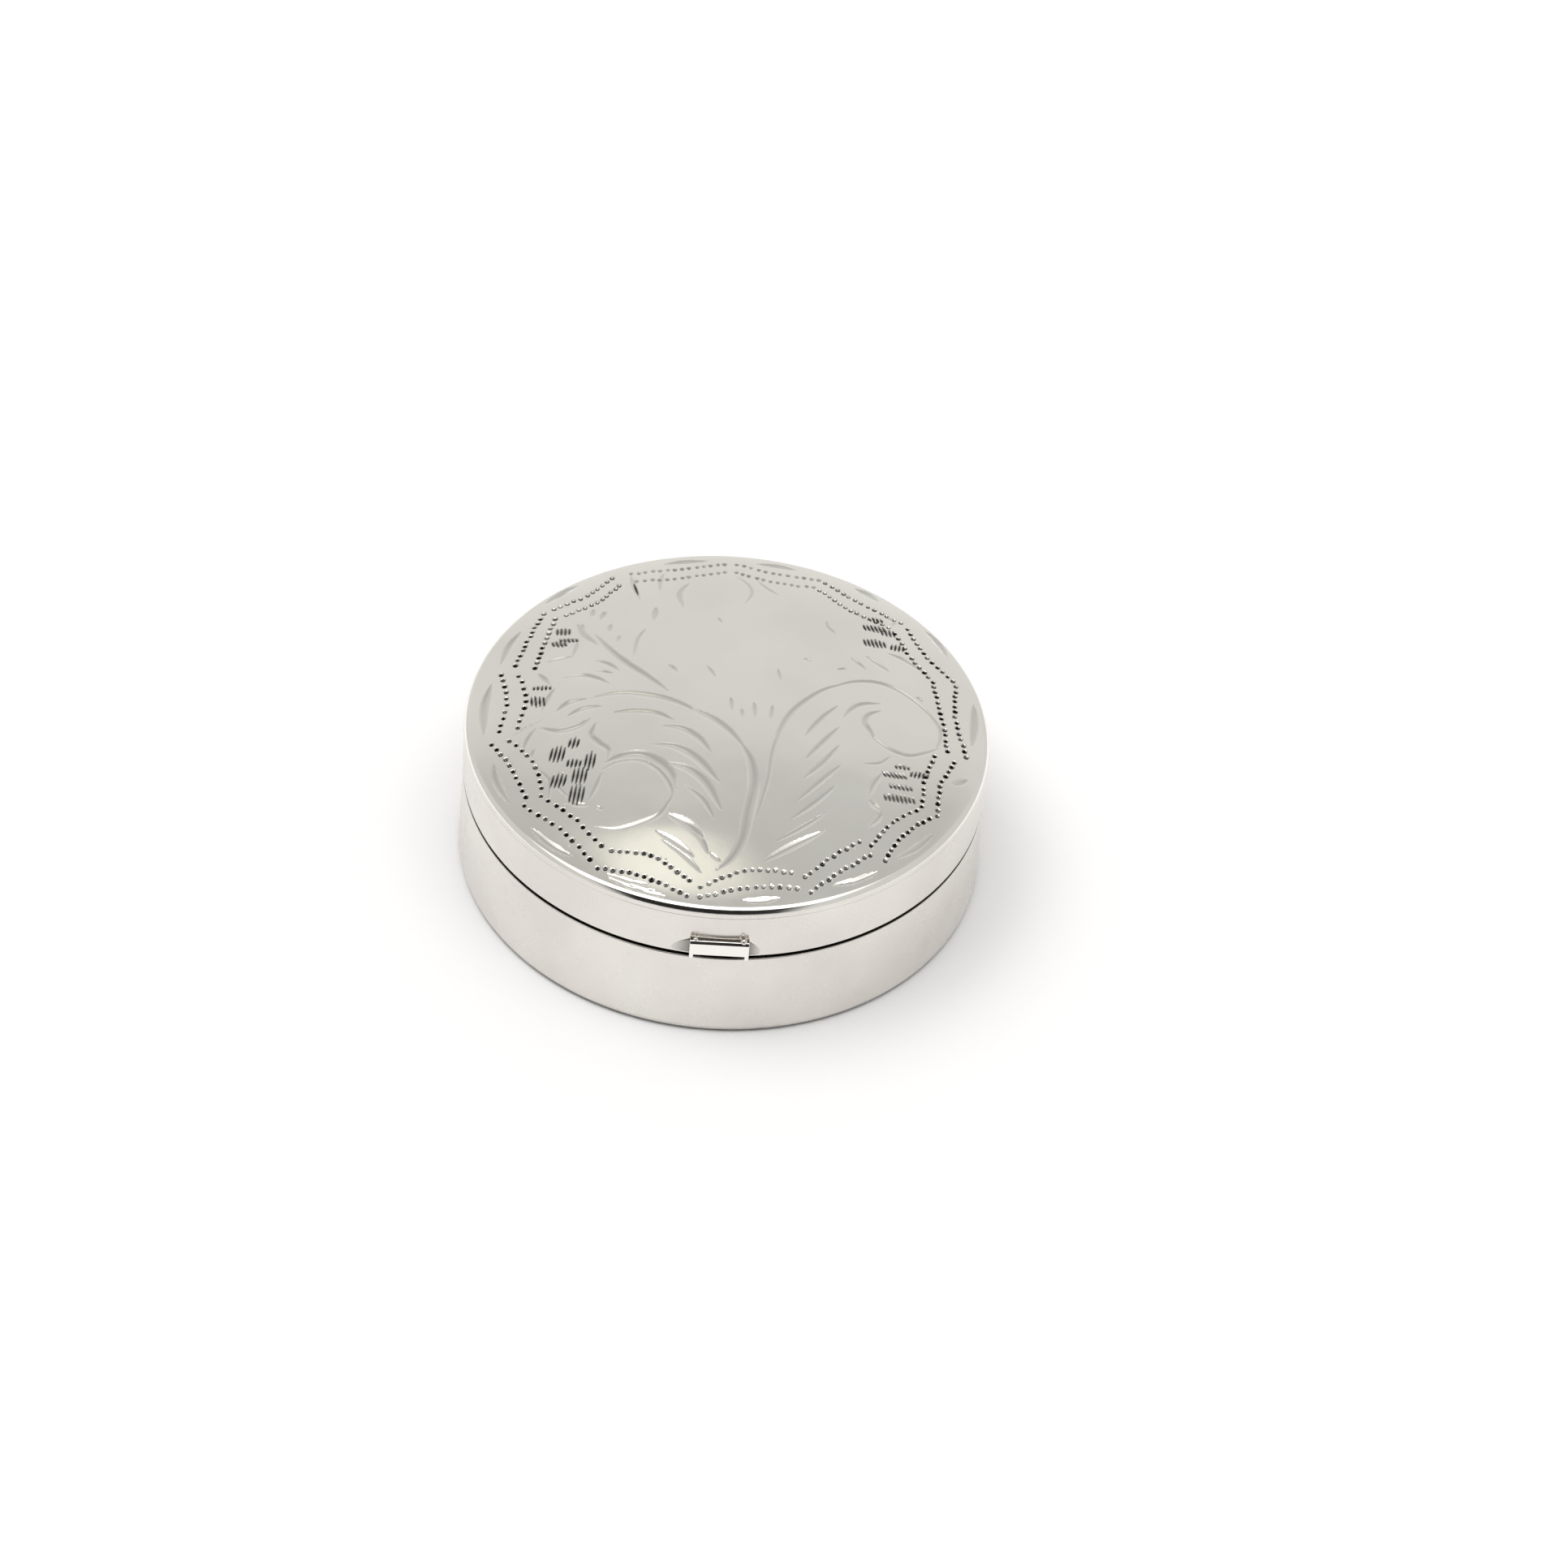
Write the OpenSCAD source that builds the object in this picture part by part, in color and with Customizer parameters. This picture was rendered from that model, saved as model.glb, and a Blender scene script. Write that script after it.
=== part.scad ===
// Round pill box with a low domed lid, an inner bezel, a five-knuckle hinge and a thumb-piece.
// The origin is the centre of the underside. +Z is up, the hinge is at +Y, the thumb-piece at -Y.
// All sizes are in millimetres. The lid is drawn closed.

/* [Box] */
// Outer diameter at the seam between base and lid
box_d = 34; // [30:1:38]
// Thickness of the silver sheet
sheet = 0.5; // [0.4:0.05:0.6]
// Height of the base, from the table to its upper edge
base_h = 6.5; // [6:0.25:9]
// How much wider the base is at its foot than at the seam, on the radius
base_flare = 0.2; // [0:0.05:0.3]
// Radius of the rounded lower edge of the base
foot_r = 0.5; // [0.4:0.05:0.6]

/* [Lid] */
// Gap at the seam, between the base and the closed lid
seam_gap = 0.3; // [0.15:0.05:0.3]
// Height of the straight side of the lid
lid_side_h = 3.5; // [3.5:0.25:6]
// Radius of the tight edge between the side of the lid and its dome
shoulder_r = 0.45; // [0.4:0.05:0.6]
// Rise of the dome, from the edge of the lid to the crown
dome_rise = 1.4; // [0.8:0.1:2.5]

/* [Bezel] */
// Height of the inner bezel above the upper edge of the base
bezel_rise = 1; // [0.8:0.1:1.4]
// Depth of the bezel strip below the upper edge of the base
bezel_drop = 3; // [2:0.25:4]
// Clearance between the bezel and the inside of the lid, on the radius
bezel_gap = 0.2; // [0.15:0.05:0.3]

/* [Hinge] */
// Length of the hinge barrel, over its five knuckles
hinge_len = 11; // [9:0.5:13]
// Outer radius of the knuckles
knuckle_r = 0.8; // [0.75:0.05:0.9]
// Radius of the hinge pin
pin_r = 0.3; // [0.25:0.05:0.35]
// Opening of the lid at which the two hinge bearers meet, in degrees
stop_angle = 107; // [100:1:115]

/* [Thumb-piece] */
// Width of the thumb-piece
thumb_w = 3.7; // [3:0.1:6]
// Height of the thumb-piece, from the lower edge of the lid
thumb_h = 1.5; // [1.5:0.1:2.2]
// How far the thumb-piece stands out from the lid
thumb_out = 0.45; // [0.4:0.05:0.9]

/* [Hidden] */

$fn = 96;

box_r = box_d / 2;
foot_d = box_d + 2 * base_flare;
inner_r = box_r - sheet;
edge_r = 0.12;
arc_steps = 8;

// Heights of the lid
lid_z = base_h + seam_gap;
shoulder_z = lid_z + lid_side_h;
solder_z = shoulder_z - sheet / 2;

// The dome is part of a sphere that leaves the shoulder at the same slope
dome_edge_r = box_r - shoulder_r;
dome_r = (dome_edge_r * dome_edge_r + dome_rise * dome_rise) / (2 * dome_rise);
dome_slope = asin(dome_edge_r / dome_r);

// The hinge axis lies in the seam, just outside the wall
wall_clear = 0.1;
hinge_y = box_r + knuckle_r + wall_clear;
hinge_z = base_h + seam_gap / 2;
knuckle_count = 5;
knuckle_gap = 0.06;
knuckle_pitch = hinge_len / knuckle_count;
knuckle_len = knuckle_pitch - knuckle_gap;
running_gap = 0.04;
swing_gap = 0.1;
bearer_reach = 1.3;
bearer_h = 1.7;

// The front of the closed lid snaps over a bead on the bezel
bead_r = 1;
bead_out = 0.12;
groove_gap = 0.2;
bead_z = base_h + bezel_rise / 2;

// The thumb-piece is a bar on two short legs, with room for a fingernail under the bar
thumb_bar_h = 1.08;
thumb_leg_w = 0.25;
thumb_leg_z = 0.12;
thumb_bevel_h = 0.15;
thumb_bevel_w = 0.16;

// Points of an arc in the X-Y plane of a profile
function arc(cx, cy, r, from, to, steps) =
    [for (i = [0:steps]) let (a = from + (to - from) * i / steps) [cx + r * cos(a), cy + r * sin(a)]];

// Points of the dome between its edge and its crown, offset inwards by an amount
function dome_line(offset_in, from_r, steps) =
    [for (i = [0:steps])
        let (x = from_r * (1 - i / steps), r = dome_r - offset_in)
        [x, crown_z - dome_r + sqrt(r * r - x * x)]];

// Height of the crown, where the shoulder's arc and the dome meet smoothly
crown_z = shoulder_z + shoulder_r * cos(dome_slope) + dome_r * (1 - cos(dome_slope));

// Centre of a knuckle along the hinge, counted from the left
function knuckle_x(index) = (index - (knuckle_count - 1) / 2) * knuckle_pitch;

module base_plate() {
    color("silver")
    rotate_extrude()
        polygon(concat(
            [[0, 0]],
            arc(foot_d / 2 - foot_r, foot_r, foot_r, -90, 0, arc_steps),
            [[foot_d / 2, max(foot_r, sheet)], [0, max(foot_r, sheet)]]
        ));
}

module base_band() {
    foot_z = max(foot_r, sheet);
    color("silver")
    rotate_extrude()
        polygon(concat(
            [[inner_r, foot_z], [foot_d / 2, foot_z]],
            arc(box_r - edge_r, base_h - edge_r, edge_r, 0, 90, arc_steps),
            [[inner_r, base_h]]
        ));
}

// A strip soldered inside the base, drawn in slightly where it enters the lid
module base_bezel() {
    neck_r = inner_r - bezel_gap;
    top_z = base_h + bezel_rise;
    color("gainsboro")
    rotate_extrude()
        polygon(concat(
            [[neck_r - sheet, base_h - bezel_drop], [inner_r, base_h - bezel_drop]],
            [[inner_r, base_h - bezel_gap], [neck_r, base_h]],
            arc(neck_r - edge_r, top_z - edge_r, edge_r, 0, 90, arc_steps),
            arc(neck_r - sheet + edge_r, top_z - edge_r, edge_r, 90, 180, arc_steps)
        ));
}

// A lens of silver on the front of the bezel
module catch_bead() {
    neck_r = inner_r - bezel_gap;
    color("silver")
    difference() {
        translate([0, -(neck_r + bead_out - bead_r), bead_z]) sphere(r = bead_r);
        translate([0, 0, bead_z - 2 * bead_r]) cylinder(r = neck_r, h = 4 * bead_r);
    }
}

module knuckle(index, bore_r) {
    color("silver")
    translate([knuckle_x(index) - knuckle_len / 2, hinge_y, hinge_z])
    rotate([0, 90, 0])
    difference() {
        cylinder(r = knuckle_r, h = knuckle_len, $fn = 48);
        translate([0, 0, -1]) cylinder(r = bore_r, h = knuckle_len + 2, $fn = 48);
    }
}

module hinge_pin() {
    color("darkgray")
    translate([-hinge_len / 2, hinge_y, hinge_z])
    rotate([0, 90, 0])
    cylinder(r = pin_r, h = hinge_len, $fn = 48);
}

// The space that one knuckle needs, with a radius of its own
module knuckle_space(index, radius) {
    translate([knuckle_x(index) - knuckle_pitch / 2, hinge_y, hinge_z])
    rotate([0, 90, 0])
    cylinder(r = radius, h = knuckle_pitch, $fn = 48);
}

// A wedge between the wall and the barrel. Its sloped outer face is the lid's stop.
// side is -1 for the base and 1 for the lid. own lists the knuckles soldered to it.
module bearer(side, own, wall_r) {
    face_angle = stop_angle / 2;
    out_y = bearer_reach * cos(face_angle);
    out_z = bearer_reach * sin(face_angle);
    depth = hinge_y - box_r + sheet;
    near_z = seam_gap;
    difference() {
        translate([-hinge_len / 2, hinge_y, hinge_z])
        mirror([0, 0, side < 0 ? 1 : 0])
        rotate([90, 0, 90])
        linear_extrude(height = hinge_len)
            polygon([
                [-depth - sheet, near_z],
                [0, near_z],
                [near_z / tan(face_angle), near_z],
                [out_y, out_z],
                [-wall_clear - knuckle_r, bearer_h],
                [-depth - sheet, bearer_h]
            ]);
        translate([0, 0, hinge_z - 2 * bearer_h]) cylinder(r1 = wall_r[0], r2 = wall_r[1], h = 4 * bearer_h);
        for (index = [0:knuckle_count - 1])
            knuckle_space(index, len(search(index, own)) > 0 ? knuckle_r : knuckle_r + swing_gap);
    }
}

// The base wall leans outwards towards its foot
function base_r_at(z) = box_r + base_flare * (base_h - z) / (base_h - max(foot_r, sheet));

module base_hinge_bearer() {
    low_z = hinge_z - 2 * bearer_h;
    high_z = hinge_z + 2 * bearer_h;
    color("silver") bearer(-1, [0, 2, 4], [base_r_at(low_z), base_r_at(high_z)]);
}

module lid_hinge_bearer() {
    color("silver") bearer(1, [1, 3], [box_r, box_r]);
}

// The domed top sheet, with the tight edge that turns down to the band
module lid_top() {
    color("whitesmoke")
    rotate_extrude()
        polygon(concat(
            [[inner_r, solder_z], [box_r, solder_z]],
            arc(dome_edge_r, shoulder_z, shoulder_r, 0, 90 - dome_slope, arc_steps),
            dome_line(0, dome_edge_r, 24),
            dome_line_reversed(sheet, inner_r)
        ));
}

// The underside of the dome, from the crown out to the band
function dome_line_reversed(offset_in, to_r) =
    let (line = dome_line(offset_in, to_r, 16))
    [for (i = [len(line) - 1:-1:0]) line[i]];

module lid_band() {
    color("silver")
    difference() {
        rotate_extrude()
            polygon(concat(
                [[inner_r, lid_z]],
                arc(box_r - edge_r, lid_z + edge_r, edge_r, -90, 0, arc_steps),
                [[box_r, solder_z], [inner_r, solder_z]]
            ));
        // The groove that the catch bead snaps into
        translate([0, -(inner_r - bezel_gap + bead_out - bead_r), bead_z]) sphere(r = bead_r + groove_gap);
    }
}

// A small bar on the lower edge of the lid, bevelled along its top, with a leg at each end
module thumb_piece() {
    front_y = -box_r - thumb_out;
    over = 1;
    color("silver")
    difference() {
        translate([-thumb_w / 2, front_y, lid_z])
        rotate([90, 0, 90])
        linear_extrude(height = thumb_w)
            polygon([
                [0, thumb_leg_z],
                [thumb_out + sheet, thumb_leg_z],
                [thumb_out + sheet, thumb_h],
                [thumb_bevel_w, thumb_h],
                [0, thumb_h - thumb_bevel_h]
            ]);
        translate([-thumb_w / 2 + thumb_leg_w, front_y - over, lid_z - over])
            cube([thumb_w - 2 * thumb_leg_w, thumb_out + sheet + 2 * over, thumb_h - thumb_bar_h + over]);
        translate([0, 0, lid_z - over]) cylinder(r = box_r, h = thumb_h + 2 * over, $fn = 360);
    }
}

base_plate();
base_band();
base_bezel();
catch_bead();
base_hinge_bearer();
knuckle(0, pin_r);  // base_knuckle_left
knuckle(2, pin_r + running_gap);  // base_knuckle_centre
knuckle(4, pin_r);  // base_knuckle_right
hinge_pin();
lid_top();
lid_band();
lid_hinge_bearer();
knuckle(1, pin_r + running_gap);  // lid_knuckle_left
knuckle(3, pin_r + running_gap);  // lid_knuckle_right
thumb_piece();
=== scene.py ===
"""A round silver pill box with a hand-engraved lid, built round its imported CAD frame."""
import math

import bpy
import numpy as np
from mathutils import Matrix, Vector


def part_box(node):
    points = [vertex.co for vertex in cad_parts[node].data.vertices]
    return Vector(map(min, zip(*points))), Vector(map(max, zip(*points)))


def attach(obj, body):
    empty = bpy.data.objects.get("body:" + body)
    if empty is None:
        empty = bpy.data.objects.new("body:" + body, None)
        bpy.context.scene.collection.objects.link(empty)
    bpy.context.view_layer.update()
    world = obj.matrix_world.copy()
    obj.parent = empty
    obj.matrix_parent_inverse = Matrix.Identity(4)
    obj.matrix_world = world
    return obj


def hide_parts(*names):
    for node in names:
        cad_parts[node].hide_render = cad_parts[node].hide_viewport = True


MM = 0.001
SEGMENTS = 512  # round the box
SMALL_SEGMENTS = 96  # round a knuckle or the pin
ON_AXIS = 1e-9  # a radius below this is on the axis

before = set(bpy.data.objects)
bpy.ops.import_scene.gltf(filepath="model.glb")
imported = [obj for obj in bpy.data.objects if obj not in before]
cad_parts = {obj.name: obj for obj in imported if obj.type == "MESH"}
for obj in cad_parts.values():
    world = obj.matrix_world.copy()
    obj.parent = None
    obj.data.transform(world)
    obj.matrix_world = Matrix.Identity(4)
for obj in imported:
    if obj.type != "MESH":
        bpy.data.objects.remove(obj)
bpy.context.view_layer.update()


def high(node, axis):
    """The highest coordinate of a CAD node along an axis, in millimetres."""
    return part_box(node)[1][axis] / MM


def low(node, axis):
    """The lowest coordinate of a CAD node along an axis, in millimetres."""
    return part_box(node)[0][axis] / MM


# Driving sizes, in millimetres, all taken from the frame
BOX_R = high("lid_band", 0)
FOOT_R = high("base_plate", 0)
FOOT_Z = low("base_band", 2)
BASE_Z = high("base_band", 2)
LID_Z = low("lid_band", 2)
SOLDER_Z = high("lid_band", 2)
CROWN_Z = high("lid_top", 2)
BEZEL_Z = high("base_bezel", 2)
BEZEL_LOW_Z = low("base_bezel", 2)
INNER_R = high("base_bezel", 0)
SHEET = BOX_R - INNER_R
HINGE_Y = (high("hinge_pin", 1) + low("hinge_pin", 1)) / 2
HINGE_Z = (high("hinge_pin", 2) + low("hinge_pin", 2)) / 2
HINGE_LEN = high("hinge_pin", 0) - low("hinge_pin", 0)
PIN_R = (high("hinge_pin", 2) - low("hinge_pin", 2)) / 2
KNUCKLE_R = high("lid_knuckle_left", 1) - HINGE_Y

# Sizes of the visible finish, in millimetres
SHOULDER_R = 0.55  # rounding of the lid's rim
SHOULDER_Z = SOLDER_Z + 0.15
DOME_EDGE_R = BOX_R - SHOULDER_R
BEZEL_GAP = 0.2  # how far the bezel's neck stands back from the inside of the bands
BASE_EDGE = 0.1  # rounding of the base's upper edge
LID_EDGE = 0.04  # rounding of the lid's lower edge
INNER_EDGE = 0.03  # rounding of the bands' inner edges at the seam
BEZEL_FOLD = 0.05  # rounding of the bezel's folds
BEZEL_RIM = 0.16  # rounding of the bezel's upper rim
HIDDEN_EDGE = 0.01  # rounding of edges that lie against another piece
BEARER_EDGE = 0.12  # rounding of the hinge bearers
KNUCKLE_EDGE = 0.08  # rounding of the knuckles' ends
BORE_EDGE = 0.02  # and of their bores
KNUCKLE_PLAY = 0.04  # room round the pin in the knuckles that turn on it
PIN_END = 0.12  # rounding of the pin's ends
SEAM_SHADE = 0.75  # how dark the painted shade is on the faces inside the seam
FOOT_SHADE = 0.65  # and on the underside, fading up into the rounding of the foot
SOLDER_EDGE = 0.025  # hairline where the top sheet meets the band

# ---- meshes


def make_object(name, verts, faces, normals=None):
    """A smooth mesh object from points in millimetres, with its faces turned outwards."""
    mesh = bpy.data.meshes.new(name)
    mesh.from_pydata((np.asarray(verts) * MM).tolist(), [], faces)
    mesh.update()
    if signed_volume(mesh) < 0:
        mesh.flip_normals()
    mesh.polygons.foreach_set("use_smooth", [True] * len(mesh.polygons))
    if normals is not None:
        mesh.normals_split_custom_set_from_vertices(np.asarray(normals).tolist())
    obj = bpy.data.objects.new(name, mesh)
    bpy.context.scene.collection.objects.link(obj)
    return obj


def add_tarnish_and_shade(obj, values):
    """Stores how dark each vertex is painted, from 0 to 1, for the silver materials: tarnish in the cuts and
    dots, painted shade in the seam, on the foot and beside the thumb-piece.
    """
    layer = obj.data.attributes.new("tarnish_and_shade", "FLOAT", "POINT")
    layer.data.foreach_set("value", values)


def signed_volume(mesh):
    """Six times the volume inside a closed mesh, negative if its faces point inwards."""
    mesh.calc_loop_triangles()
    corners = np.empty(len(mesh.loop_triangles) * 3, int)
    mesh.loop_triangles.foreach_get("vertices", corners)
    points = np.empty(len(mesh.vertices) * 3)
    mesh.vertices.foreach_get("co", points)
    a, b, c = points.reshape(-1, 3)[corners.reshape(-1, 3)].transpose(1, 0, 2)
    return float(np.einsum("ij,ij->", a, np.cross(b, c)))


def rounded_profile(corners, steps=6):
    """Points and normals of a closed (r, z) outline, counter-clockwise, from (r, z, rounding) corners."""
    points, normals = [], []
    count = len(corners)
    for i in range(count):
        before, here, after = (np.array(corners[(i + k) % count][:2], float) for k in (-1, 0, 1))
        rounding = corners[i][2]
        into = (here - before) / np.linalg.norm(here - before)
        out = (after - here) / np.linalg.norm(after - here)
        turn = math.atan2(into[0] * out[1] - into[1] * out[0], into @ out)
        sign = 1 if turn > 0 else -1
        if rounding == 0 or abs(turn) < 1e-6:
            points.append(here)
            normals.append(np.array([into[1], -into[0]]))
            continue
        first = np.array([into[1], -into[0]])
        start = here - into * rounding * math.tan(abs(turn) / 2)
        centre = start - sign * rounding * first
        for k in range(steps + 1):
            angle = turn * k / steps
            c, s = math.cos(angle), math.sin(angle)
            normal = np.array([c * first[0] - s * first[1], s * first[0] + c * first[1]])
            points.append(centre + sign * rounding * normal)
            normals.append(normal)
    return np.array(points), np.array(normals)


def solid_profile(top, corners, steps):
    """Points and normals of an open (r, z) outline, from the axis at 0 to the axis at the top."""
    points, normals = rounded_profile([(0, 0, 0), *corners, (0, top, 0)], steps)
    off_axis = points[:, 0] > ON_AXIS
    points = np.vstack([[0, 0], points[off_axis], [0, top]])
    normals = np.vstack([[0, -1], normals[off_axis], [0, 1]])
    return points, normals


def lathe(name, points, normals, segments=SEGMENTS, closed=True, tarnish_and_shade=None):
    """Revolves an (r, z) outline round Z. An open outline starts and ends on the axis."""
    angles = np.linspace(0, 2 * math.pi, segments, endpoint=False)
    cos, sin = np.cos(angles), np.sin(angles)
    on_axis = points[:, 0] < ON_AXIS
    verts, vert_normals, rings = [], [], []
    for (r, z), (nr, nz), pole in zip(points, normals, on_axis):
        first = len(verts)
        if pole:
            verts.append((0, 0, z))
            vert_normals.append((0, 0, math.copysign(1, nz)))
            rings.append([first] * len(angles))
            continue
        verts.extend(zip(r * cos, r * sin, np.full(len(angles), z)))
        vert_normals.extend(zip(nr * cos, nr * sin, np.full(len(angles), nz)))
        rings.append(list(range(first, first + len(angles))))
    faces = []
    pairs = list(zip(rings, rings[1:])) + ([(rings[-1], rings[0])] if closed else [])
    for ring, after in pairs:
        faces.extend(strip(ring, after))
    obj = make_object(name, verts, faces, vert_normals)
    if tarnish_and_shade is not None:
        add_tarnish_and_shade(obj, [float(tarnish_and_shade(math.hypot(x, y), z)) for x, y, z in verts])
    return obj


def strip(ring, after):
    """Quads between two rings of vertices, or triangles where a ring is one point on the axis."""
    faces = []
    for k in range(len(ring)):
        n = (k + 1) % len(ring)
        corners = [ring[k], ring[n], after[n], after[k]]
        faces.append([c for i, c in enumerate(corners) if c != corners[i - 1]])
    return [f for f in faces if len(f) > 2]


def along_x(obj, x, y, z):
    """Turns a lathe's axis from Z to X, in the mesh itself, and puts it in place, in millimetres."""
    turn = Matrix.Rotation(math.radians(90), 4, "Y")
    place = Matrix.Translation(Vector((x, y, z)) * MM)
    normals = [turn.to_3x3() @ n.vector for n in obj.data.corner_normals]
    obj.data.transform(place @ turn)
    obj.data.normals_split_custom_set(normals)
    return obj


# ---- engraving
# All of it is in millimetres on the plan of the lid: X to the right, the thumb-piece at -Y.

# Each lunette of the border: the azimuths, in degrees, of its start and end, how hard its dots were struck,
# and the radii of its outer and of its inner dotted row at the start, in the middle and at the end
LUNETTES = [
    (19, 40, 1, (15.5, 14.8, 15.3), (14.1, 13.7, 14.2)),
    (43, 66, 0.8, (15.4, 14.9, 15.4), (14.3, 13.7, 14.4)),
    (68, 89, 0.45, (15.5, 15, 15.5), (14.5, 13.9, 14.5)),
    (92, 116, 0.45, (15.5, 15, 15.5), (14.5, 13.9, 14.5)),
    (121, 140, 0.8, (15.6, 14.9, 15.3), (14.6, 13.8, 14.2)),
    (143, 164, 1, (15.5, 14.8, 14.5), (14.5, 13.6, 13.2)),
    (168, 189, 1, (15.1, 14.3, 14.8), (13.9, 13.1, 13.6)),
    (193, 213, 1, (15.4, 14.8, 15), (14.3, 13.4, 13.8)),
    (215, 238, 1, (15.5, 15, 15.7), (14.2, 13.8, 14.5)),
    (241, 262, 0.85, (16, 15.4, 16.1), (14.5, 13.8, 15)),
    (265, 287, 0.7, (16.1, 15.2, 15.6), (15.3, 13.9, 14.4)),
    (290, 308, 0.85, (16, 15.1, 14.9), (14.9, 13.9, 13.7)),
    (310, 328, 0.95, (15.6, 14.9, 15.2), (14.3, 13.8, 14.2)),
    (330, 349, 1, (15.5, 14.6, 14.9), (14.4, 13.5, 13.6)),
    (352, 377, 1, (15.5, 14.8, 15.5), (14.3, 13.9, 14)),
]
DOT_PITCH = 0.5
WIDE_PITCH = 0.62  # on the left of the lid, where the dots were struck further apart
WIDE_SPAN = (165, 240)
DOT_R = 0.19
DOT_DEPTH = 0.19  # of a dot that was struck hard
DOT_STRAY = 0.03  # how far a dot strays from its row
DOT_SIZES = (0.85, 1.1)  # least and greatest share of the size, and then of the depth
DOT_DEPTHS = (0.85, 1.15)

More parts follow.
